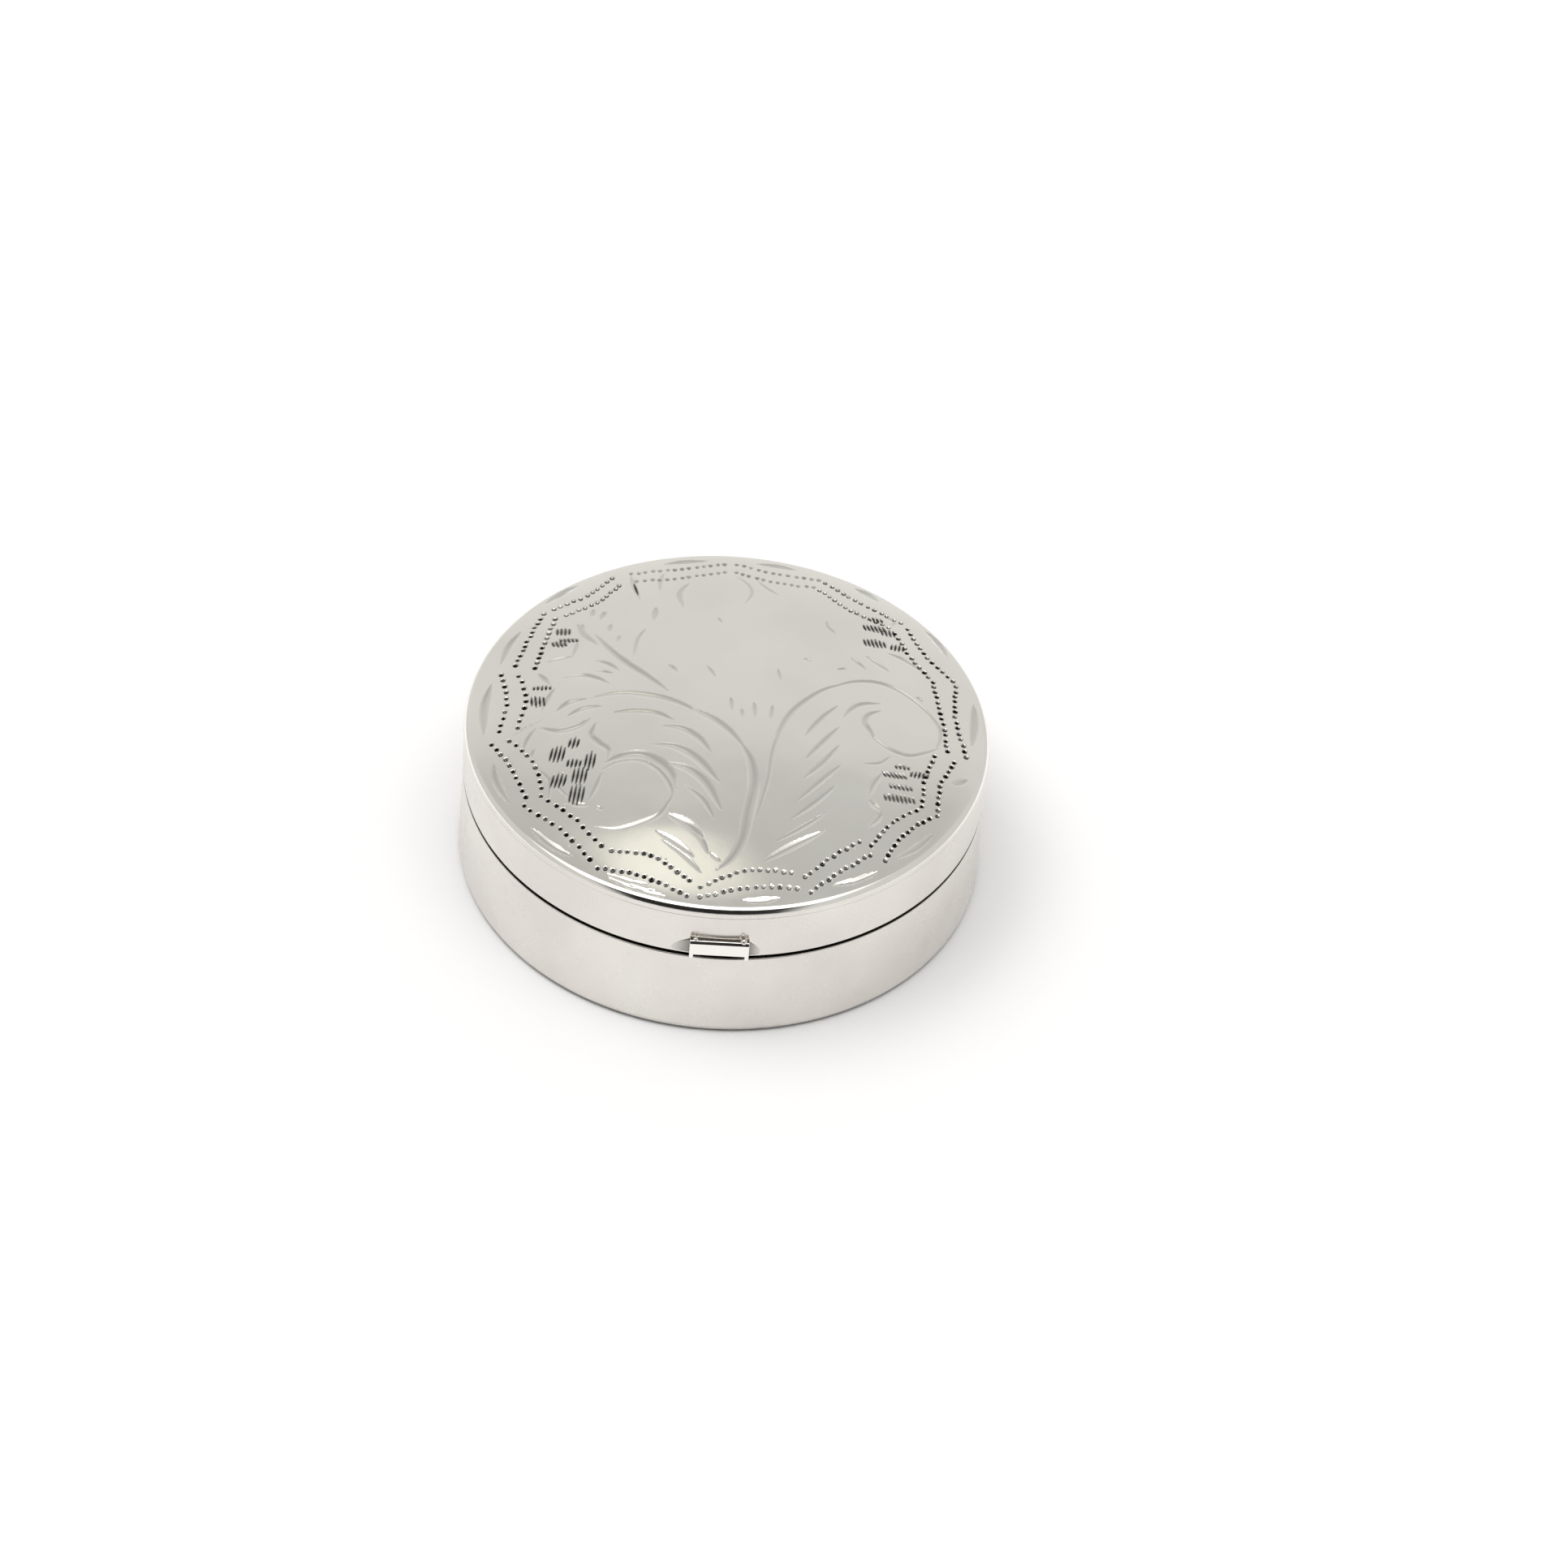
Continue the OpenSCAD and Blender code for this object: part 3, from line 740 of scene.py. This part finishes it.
def painted_seam_shade(bright, below=0.01):
    """Painted shade on the faces hidden in the seam, all but an outer edge of the given width, which stays
    bright.
    """
    def seam_shade(r, z):
        in_seam = BASE_Z - below < z < LID_Z + 0.01
        return SEAM_SHADE * (in_seam and INNER_R - BEZEL_GAP - 0.01 < r < BOX_R - bright + 0.01)
    return seam_shade


def make_base_band():
    """The side of the base, which flares a little towards the foot."""
    corners = [
        (INNER_R, FOOT_Z, HIDDEN_EDGE), (FOOT_R, FOOT_Z, HIDDEN_EDGE),
        (BOX_R, BASE_Z, BASE_EDGE), (INNER_R, BASE_Z, INNER_EDGE),
    ]
    # Painted shade on the faces inside the seam; the rounded upper edge stays bright.
    painted_shade = painted_seam_shade(0.4 * BASE_EDGE, 0.3 * BASE_EDGE)
    return lathe("base_band_polished", *rounded_profile(corners), tarnish_and_shade=painted_shade)


def make_base_bezel():
    """The inner strip that centres the lid, with a neck that stands back from the bands."""
    neck = INNER_R - BEZEL_GAP
    corners = [
        (neck - SHEET, BEZEL_LOW_Z, BEZEL_FOLD), (INNER_R, BEZEL_LOW_Z, 0.02),
        (INNER_R, BASE_Z - BEZEL_GAP, BEZEL_FOLD), (neck, BASE_Z, BEZEL_FOLD),
        (neck, BEZEL_Z, BEZEL_RIM), (neck - SHEET, BEZEL_Z, BEZEL_RIM),
    ]
    # The bezel's faces inside the seam get painted shade.
    return lathe("base_bezel_polished", *rounded_profile(corners, 8), tarnish_and_shade=painted_seam_shade(0))


def make_lid_band():
    """The side of the lid."""
    corners = [
        (INNER_R, LID_Z, INNER_EDGE), (BOX_R, LID_Z, LID_EDGE),
        (BOX_R, SOLDER_Z, SOLDER_EDGE), (INNER_R, SOLDER_Z, HIDDEN_EDGE),
    ]
    # The lid band's faces inside the seam get painted shade; its rounded lower edge stays bright.
    return lathe("lid_band_polished", *rounded_profile(corners), tarnish_and_shade=painted_seam_shade(LID_EDGE))


def make_knuckle(node, bore):
    """A short tube round the pin."""
    length = high(node, 0) - low(node, 0)
    corners = [
        (bore, 0, BORE_EDGE), (KNUCKLE_R, 0, KNUCKLE_EDGE),
        (KNUCKLE_R, length, KNUCKLE_EDGE), (bore, length, BORE_EDGE),
    ]
    tube = lathe(node + "_tube", *rounded_profile(corners), SMALL_SEGMENTS)
    return along_x(tube, low(node, 0), HINGE_Y, HINGE_Z)


def make_pin():
    """The wire through the knuckles."""
    points, normals = solid_profile(HINGE_LEN, [(PIN_R, 0, PIN_END), (PIN_R, HINGE_LEN, PIN_END)], 6)
    wire = lathe("hinge_pin_wire", points, normals, SMALL_SEGMENTS, closed=False)
    return along_x(wire, -HINGE_LEN / 2, HINGE_Y, HINGE_Z)


def softened_copy(node, name, width):
    """A copy of a CAD node with its edges rounded."""
    obj = bpy.data.objects.new(name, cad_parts[node].data.copy())
    obj.data.polygons.foreach_set("use_smooth", [True] * len(obj.data.polygons))
    bpy.context.scene.collection.objects.link(obj)
    bpy.context.view_layer.objects.active = obj
    weld = obj.modifiers.new("weld", "WELD")
    weld.merge_threshold = 2e-6
    thin = obj.modifiers.new("planar", "DECIMATE")
    thin.decimate_type = "DISSOLVE"
    thin.angle_limit = math.radians(1)
    bevel = obj.modifiers.new("soft", "BEVEL")
    bevel.width = width * MM
    bevel.segments = 4
    bevel.limit_method = "ANGLE"
    bevel.angle_limit = math.radians(25)
    normals = obj.modifiers.new("even", "WEIGHTED_NORMAL")
    normals.keep_sharp = False
    for modifier in list(obj.modifiers):
        bpy.ops.object.modifier_apply(modifier=modifier.name)
    return obj


THUMB_EDGE = 0.03  # rounding of the thumb-piece's edges
SOLDER_LEN = (1.5, 1.0)  # how far the solder runs out along the wall at the left and the right end
SOLDER_OUT = 0.17  # how far it stands out beside the thumb-piece
SOLDER_SINK = 0.03  # how deep its back lies in the wall
SOLDER_BELOW = 0.05  # how far it reaches below the thumb-piece
SOLDER_TOP = 0.1  # how far it stays below its top
SOLDER_UNDER = 0.1  # how far it starts in from its end
SOLDER_FALL = 0.6  # how late it gets lower on its way out: 1 is a straight fall
SOLDER_SHADE = 0.75  # how dark the painted dark reflection is beside the thumb-piece; it fades out along the fillet
SOLDER_STEPS = 8  # along a fillet, and across it
BEAD_R = (0.16, 0.22)  # of the ball left at the left and at the right end
BEAD_IN = 0.36  # how far the middle of a ball lies in from the thumb-piece's end
BEAD_OUT = 0.17  # and out from the wall


def solder_section(x, fade, bottom, top):
    """Points across a fillet at x, from its lower to its upper edge. Its fade goes from 1 to 0 outwards."""
    low_edge = bottom - SOLDER_BELOW
    high_edge = bottom + (top - bottom - SOLDER_TOP) * fade**SOLDER_FALL
    wall = math.sqrt(BOX_R**2 - x * x)
    points = []
    for a in np.linspace(0, math.pi, SOLDER_STEPS + 1):
        y = -wall - SOLDER_OUT * fade * math.sin(a) + SOLDER_SINK
        z = (low_edge + high_edge) / 2 - (high_edge - low_edge) / 2 * math.cos(a)
        points.append((x, y, z))
    return points


def make_thumb_solder():
    """The solder round the thumb-piece: a fillet along the wall at each end, with a painted dark reflection
    that fades out away from the thumb-piece, and two balls on top.
    """
    half, bottom, top = high("thumb_piece", 0), low("thumb_piece", 2), high("thumb_piece", 2)
    verts, faces, painted_shade = [], [], []
    for side, length, bead_r in zip((-1, 1), SOLDER_LEN, BEAD_R):
        rings = []
        for t in np.linspace(0, 1, SOLDER_STEPS + 1):
            section = solder_section(side * (half - SOLDER_UNDER + length * t), 1 - t, bottom, top)
            rings.append(list(range(len(verts), len(verts) + len(section))))
            verts.extend(section)
            # painted dark reflection, darkest beside the thumb-piece
            painted_shade.extend([SOLDER_SHADE * (1 - t)] * len(section))
        rings = rings[::side]
        for ring, after in zip(rings, rings[1:]):
            faces.extend(strip(ring, after))
        faces.append(rings[0][::-1])
        faces.append(rings[-1])
        add_bead(verts, faces, (side * (half - BEAD_IN), -BOX_R - BEAD_OUT, top), bead_r)
        painted_shade.extend([0] * (len(verts) - len(painted_shade)))
    obj = make_object("thumb_solder", verts, faces)
    add_tarnish_and_shade(obj, painted_shade)
    return obj


def add_bead(verts, faces, centre, radius):
    """A small ball, added to the lists of points and faces."""
    turns, levels = 16, 8
    cx, cy, cz = centre
    rings = []
    for k in range(levels + 1):
        a = math.pi * k / levels
        z = cz - radius * math.cos(a)
        r = radius * math.sin(a)
        first = len(verts)
        if k in (0, levels):
            verts.append((cx, cy, z))
            rings.append([first] * turns)
            continue
        for n in range(turns):
            b = 2 * math.pi * n / turns
            verts.append((cx + r * math.cos(b), cy + r * math.sin(b), z))
        rings.append(list(range(first, first + turns)))
    for ring, after in zip(rings, rings[1:]):
        faces.extend(strip(ring, after))


# ---- materials
# (scale, detail, roughness) of the noises in the silver, and the depth in metres of two of them
COAT = (420, 4, 0.5)
MOTTLING = (130, 3, 0.5)
POLISH = (190, 2, 0.5)
SCRATCHES = (2600, 3, 0.6)
POLISH_DEPTH = 0.00012
SCRATCH_DEPTH = 0.00001
SCRATCH_SHARE = 0.6  # strength of the scratches over that of the polishing waves
# colour of the tarnish in the cuts and dots, and of the painted shade in the seam, on the foot and beside
# the thumb-piece
TARNISH_AND_SHADE = (0.012, 0.011, 0.01)


def shader(name):
    """A new material, its nodes and its main shader."""
    material = bpy.data.materials.new(name)
    material.use_nodes = True
    tree = material.node_tree
    return material, tree, tree.nodes["Principled BSDF"]


def noise(tree, scale, detail, rough=0.5):
    n = tree.nodes.new("ShaderNodeTexNoise")
    n.inputs["Scale"].default_value = scale
    n.inputs["Detail"].default_value = detail
    n.inputs["Roughness"].default_value = rough
    tree.links.new(tree.nodes.new("ShaderNodeTexCoord").outputs["Object"], n.inputs["Vector"])
    return n.outputs["Fac"]


def remap(tree, value, low_in, high_in, low_out, high_out, kind="LINEAR"):
    m = tree.nodes.new("ShaderNodeMapRange")
    m.interpolation_type = kind
    limits = {"From Min": low_in, "From Max": high_in, "To Min": low_out, "To Max": high_out}
    for slot, number in limits.items():
        m.inputs[slot].default_value = number
    tree.links.new(value, m.inputs["Value"])
    return m.outputs["Result"]


def mix(tree, first, second, share, kind="MIX"):
    """Mixes two colours, each a socket or three numbers."""
    m = tree.nodes.new("ShaderNodeMix")
    m.data_type = "RGBA"
    m.blend_type = kind
    for slot, colour in (("A", first), ("B", second)):
        if isinstance(colour, tuple):
            m.inputs[slot].default_value = (*colour, 1)
        else:
            tree.links.new(colour, m.inputs[slot])
    tree.links.new(share, m.inputs["Factor"])
    return m.outputs["Result"]


def bump(tree, height, distance, strength, before=None):
    b = tree.nodes.new("ShaderNodeBump")
    b.inputs["Distance"].default_value = distance
    b.inputs["Strength"].default_value = strength
    tree.links.new(height, b.inputs["Height"])
    if before is not None:
        tree.links.new(before, b.inputs["Normal"])
    return b.outputs["Normal"]


def silver(name, colour, rough_low, rough_high, wave, mottle=(0.95, 0.94, 0.93)):
    """Polished silver: slow polishing waves, hairline scratches, and dark tarnish and painted shade where
    the mesh says so.
    """
    material, tree, bsdf = shader(name)
    bsdf.inputs["Metallic"].default_value = 1
    coat = remap(tree, noise(tree, *COAT), 0.3, 0.7, rough_low, rough_high)
    tree.links.new(coat, bsdf.inputs["Roughness"])
    mottled = tuple(c * m for c, m in zip(colour, mottle))
    patches = remap(tree, noise(tree, *MOTTLING), 0.35, 0.65, 0, 1)
    tone = mix(tree, colour, mottled, patches)
    tarnish_and_shade = tree.nodes.new("ShaderNodeAttribute")
    tarnish_and_shade.attribute_name = "tarnish_and_shade"
    tree.links.new(mix(tree, tone, TARNISH_AND_SHADE, tarnish_and_shade.outputs["Fac"]), bsdf.inputs["Base Color"])
    slow = bump(tree, noise(tree, *POLISH), POLISH_DEPTH, wave)
    fine = bump(tree, noise(tree, *SCRATCHES), SCRATCH_DEPTH, wave * SCRATCH_SHARE, slow)
    tree.links.new(fine, bsdf.inputs["Normal"])
    return material


def paint(obj, material):
    obj.data.materials.clear()
    obj.data.materials.append(material)


def make_materials():
    """The silvers: name, colour, least and greatest roughness, strength of the waves, and mottling."""
    return {
        "lid": silver("polished_silver_lid", (0.94, 0.935, 0.92), 0.1, 0.16, 0.25),
        # The walls' silver is darker than the lid's: painted shade for the shadowed floor that they mirror,
        # over their own warm, mottled satin tone.
        "wall": silver("polished_silver_wall_painted_shade", (0.79, 0.768, 0.722), 0.22, 0.31, 0.3, (0.92, 0.895, 0.915)),
        "thumb": silver("polished_silver_thumb_piece", (0.95, 0.93, 0.9), 0.07, 0.12, 0.5),
        "inside": silver("soft_silver_inside", (0.92, 0.9, 0.86), 0.16, 0.26, 0.4),
        "hinge": silver("polished_silver_hinge", (0.92, 0.91, 0.89), 0.12, 0.2, 0.3),
        "wire": silver("drawn_wire", (0.74, 0.73, 0.7), 0.22, 0.34, 0.5),
    }


# ---- building


def place(obj, body, nodes, slot, material):
    """Hands a piece to the frame: its body and the CAD nodes that it stands for, and paints it with its
    material; the slot is not used.
    """
    paint(obj, material)
    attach(obj, body)
    if nodes:
        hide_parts(*nodes)


def place_bearer(body, m):
    node = body + "_hinge_bearer"
    place(softened_copy(node, body + "_bearer_strip", BEARER_EDGE), body, [node], "silver_hinge", m["hinge"])


def place_knuckle(body, side, play, m):
    node = body + "_knuckle_" + side
    place(make_knuckle(node, PIN_R + play), body, [node], "silver_hinge", m["hinge"])


def build_base(m):
    place(make_base_plate(), "base", ["base_plate"], "silver_base", m["wall"])
    place(make_base_band(), "base", ["base_band"], "silver_base", m["wall"])
    place(make_base_bezel(), "base", ["base_bezel"], "silver_inside", m["inside"])
    place_bearer("base", m)
    for side, play in (("left", 0), ("centre", KNUCKLE_PLAY), ("right", 0)):
        place_knuckle("base", side, play, m)
    place(make_pin(), "base", ["hinge_pin"], "pin_metal", m["wire"])
    paint(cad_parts["catch_bead"], m["inside"])


def build_lid(m):
    top = make_lid_top()
    place(top, "lid", ["lid_top"], "silver_lid", m["lid"])
    shade_lid_top(top, m["wall"], m["inside"])
    place(make_lid_band(), "lid", ["lid_band"], "silver_lid", m["wall"])
    place_bearer("lid", m)
    for side in ("left", "right"):
        place_knuckle("lid", side, KNUCKLE_PLAY, m)
    thumb = softened_copy("thumb_piece", "thumb_piece_bar", THUMB_EDGE)
    place(thumb, "lid", ["thumb_piece"], "silver_lid", m["thumb"])
    place(make_thumb_solder(), "lid", [], "silver_lid", m["wall"])


# ---- stage
VIEW_ELEVATION = math.radians(43.5)
VIEW_AZIMUTH = math.radians(-3.0)
VIEW_ROLL = math.radians(5.25)
VIEW_DISTANCE = 16 * BOX_R * MM
AIM_RIGHT = 0.2553 * BOX_R * MM  # how far the camera stands right of the box's middle, and above it
AIM_UP = 0.2273 * BOX_R * MM
LENS = 94.1
FLOOR_HALF = 3  # half the side of the floor, in metres
FLOOR_COLOUR = (0.92, 0.925, 0.955)
PAPER_GRAIN = (900, 3)  # scale and detail of its noise
PAPER_DEPTH = 0.00002
BACKDROP = (0.9, 0.9, 0.91)
# (name, place and disc size in metres, power in watts) of the lamps, which the silver doesn't mirror
LAMPS = [("key", (-0.3, 0.1, 0.6), 0.4, 0.9), ("fill", (0.1, -0.1, 0.8), 1.2, 1.1)]


def make_camera():
    """The camera looks down at the front, from a little to the left, and is slightly rolled."""
    e, a = VIEW_ELEVATION, VIEW_AZIMUTH
    back = Vector((math.sin(a) * math.cos(e), -math.cos(a) * math.cos(e), math.sin(e)))
    level = Vector((math.cos(a), math.sin(a), 0))
    up = back.cross(level)
    right = math.cos(VIEW_ROLL) * level + math.sin(VIEW_ROLL) * up
    up = back.cross(right)
    data = bpy.data.cameras.new("camera")
    data.lens = LENS
    data.clip_start = 0.01
    camera = bpy.data.objects.new("camera", data)
    camera.matrix_world = Matrix((right, up, back)).transposed().to_4x4()
    camera.location = back * VIEW_DISTANCE + right * AIM_RIGHT + up * AIM_UP
    bpy.context.scene.collection.objects.link(camera)
    bpy.context.scene.camera = camera


def make_floor():
    """A sheet of pale paper."""
    h = FLOOR_HALF
    mesh = bpy.data.meshes.new("floor")
    mesh.from_pydata([(-h, -h, 0), (h, -h, 0), (h, h, 0), (-h, h, 0)], [], [(0, 1, 2, 3)])
    floor = bpy.data.objects.new("floor", mesh)
    bpy.context.scene.collection.objects.link(floor)
    material, tree, bsdf = shader("pale_paper")
    bsdf.inputs["Base Color"].default_value = (*FLOOR_COLOUR, 1)
    bsdf.inputs["Roughness"].default_value = 0.9
    bsdf.inputs["Specular IOR Level"].default_value = 0.1
    tree.links.new(bump(tree, noise(tree, *PAPER_GRAIN), PAPER_DEPTH, 0.2), bsdf.inputs["Normal"])
    paint(floor, material)


def make_lamp(name, where, size, power):
    """A round area lamp that faces the box."""
    data = bpy.data.lights.new(name, "AREA")
    data.shape = "DISK"
    data.size = size
    data.energy = power
    light = bpy.data.objects.new(name, data)
    light.location = where
    light.rotation_mode = "QUATERNION"
    light.rotation_quaternion = Vector(where).to_track_quat("Z", "Y")
    light.visible_glossy = False
    bpy.context.scene.collection.objects.link(light)


# Brightness of the room along the arc from the front horizon (0) over the zenith (90) to the back (180)
ROOM_ARC = [
    (0, 0.1), (8, 0.02), (58, 0.02), (63, 2.4), (91, 2.4), (103, 0.49), (114, 0.51), (120, 0.53),
    (130, 0.55), (134.5, 0.67), (146, 0.7), (156, 0.72), (180, 0.84),
]
WINDOW = (116.5, -3.5)  # where a warm, soft window stands on the arc, and how far to the side
WINDOW_EDGE = (9, 1.5)  # angle from its centre where it begins and where it is full
WINDOW_TONE = (0.5, 0.48, 0.39)
ROOM_TINT = (1, 0.985, 0.93)
ROOM_STRENGTH = 4
SIDE_TONE = 0.66  # brightness of the room at the sides
SIDE_CENTRE = -5  # how far to the side the middle of the arc lies, in degrees
SIDE_ANGLE = (26, 38)  # from where to where the arc gives way to the sides, in degrees


def math_node(tree, kind, *values):
    """A math node, fed with sockets or numbers."""
    n = tree.nodes.new("ShaderNodeMath")
    n.operation = kind
    for slot, value in zip(n.inputs, values):
        if isinstance(value, (int, float)):
            slot.default_value = value
        else:
            tree.links.new(value, slot)
    return n.outputs[0]


def room_colour(tone):
    return tuple(tone / ROOM_STRENGTH * tint for tint in ROOM_TINT)


def arc_colour(tree, axes):
    """Colour of the room along the arc over the box."""
    front = math_node(tree, "MULTIPLY", axes["Y"], -1)
    turn = math_node(tree, "ARCTAN2", axes["Z"], front)
    ramp = tree.nodes.new("ShaderNodeValToRGB")
    stops = ramp.color_ramp.elements
    for angle, _ in ROOM_ARC[1:-1]:
        stops.new(angle / 180)
    for stop, (_, tone) in zip(stops, ROOM_ARC):
        stop.color = (*room_colour(tone), 1)
    tree.links.new(math_node(tree, "DIVIDE", turn, math.pi), ramp.inputs["Fac"])
    return ramp.outputs["Color"]


def share_of_sides(tree, axes):
    """How far a direction has left the arc for the sides of the room, from 0 to 1."""
    aside = math_node(tree, "ARCSINE", axes["X"])
    off_centre = math_node(tree, "SUBTRACT", aside, math.radians(SIDE_CENTRE))
    angle = math_node(tree, "ABSOLUTE", off_centre)
    return remap(tree, angle, *map(math.radians, SIDE_ANGLE), 0, 1)


def share_of_window(tree, direction):
    """How far a direction lies inside the window, from 0 to 1."""
    up, aside = map(math.radians, WINDOW)
    beside, level = math.sin(aside), math.cos(aside)
    toward = tree.nodes.new("ShaderNodeVectorMath")
    toward.operation = "DOT_PRODUCT"
    tree.links.new(direction, toward.inputs[0])
    toward.inputs[1].default_value = (beside, -level * math.cos(up), level * math.sin(up))
    edge = [math.cos(math.radians(angle)) for angle in WINDOW_EDGE]
    return remap(tree, toward.outputs["Value"], *edge, 0, 1, "SMOOTHSTEP")


def make_world():
    """A room for the silver to mirror, with a warm window. The camera itself sees an even backdrop."""
    world = bpy.data.worlds.new("room")
    bpy.context.scene.world = world
    world.use_nodes = True
    tree = world.node_tree
    direction = tree.nodes.new("ShaderNodeTexCoord").outputs["Generated"]
    split = tree.nodes.new("ShaderNodeSeparateXYZ")
    tree.links.new(direction, split.inputs[0])
    arc = arc_colour(tree, split.outputs)
    walls = mix(tree, arc, room_colour(SIDE_TONE), share_of_sides(tree, split.outputs))
    window = tuple(tone / ROOM_STRENGTH for tone in WINDOW_TONE)
    colour = mix(tree, walls, window, share_of_window(tree, direction), "ADD")
    room = tree.nodes["Background"]
    room.inputs["Strength"].default_value = ROOM_STRENGTH
    tree.links.new(colour, room.inputs["Color"])
    backdrop = tree.nodes.new("ShaderNodeBackground")
    backdrop.inputs["Color"].default_value = (*BACKDROP, 1)
    choose = tree.nodes.new("ShaderNodeMixShader")
    tree.links.new(tree.nodes.new("ShaderNodeLightPath").outputs["Is Camera Ray"], choose.inputs["Fac"])
    tree.links.new(room.outputs[0], choose.inputs[1])
    tree.links.new(backdrop.outputs[0], choose.inputs[2])
    tree.links.new(choose.outputs[0], tree.nodes["World Output"].inputs["Surface"])


def make_stage():
    make_floor()
    make_camera()
    make_world()
    for lamp in LAMPS:
        make_lamp(*lamp)
    bpy.context.scene.view_settings.view_transform = "Standard"


materials = make_materials()
build_base(materials)
build_lid(materials)
make_stage()
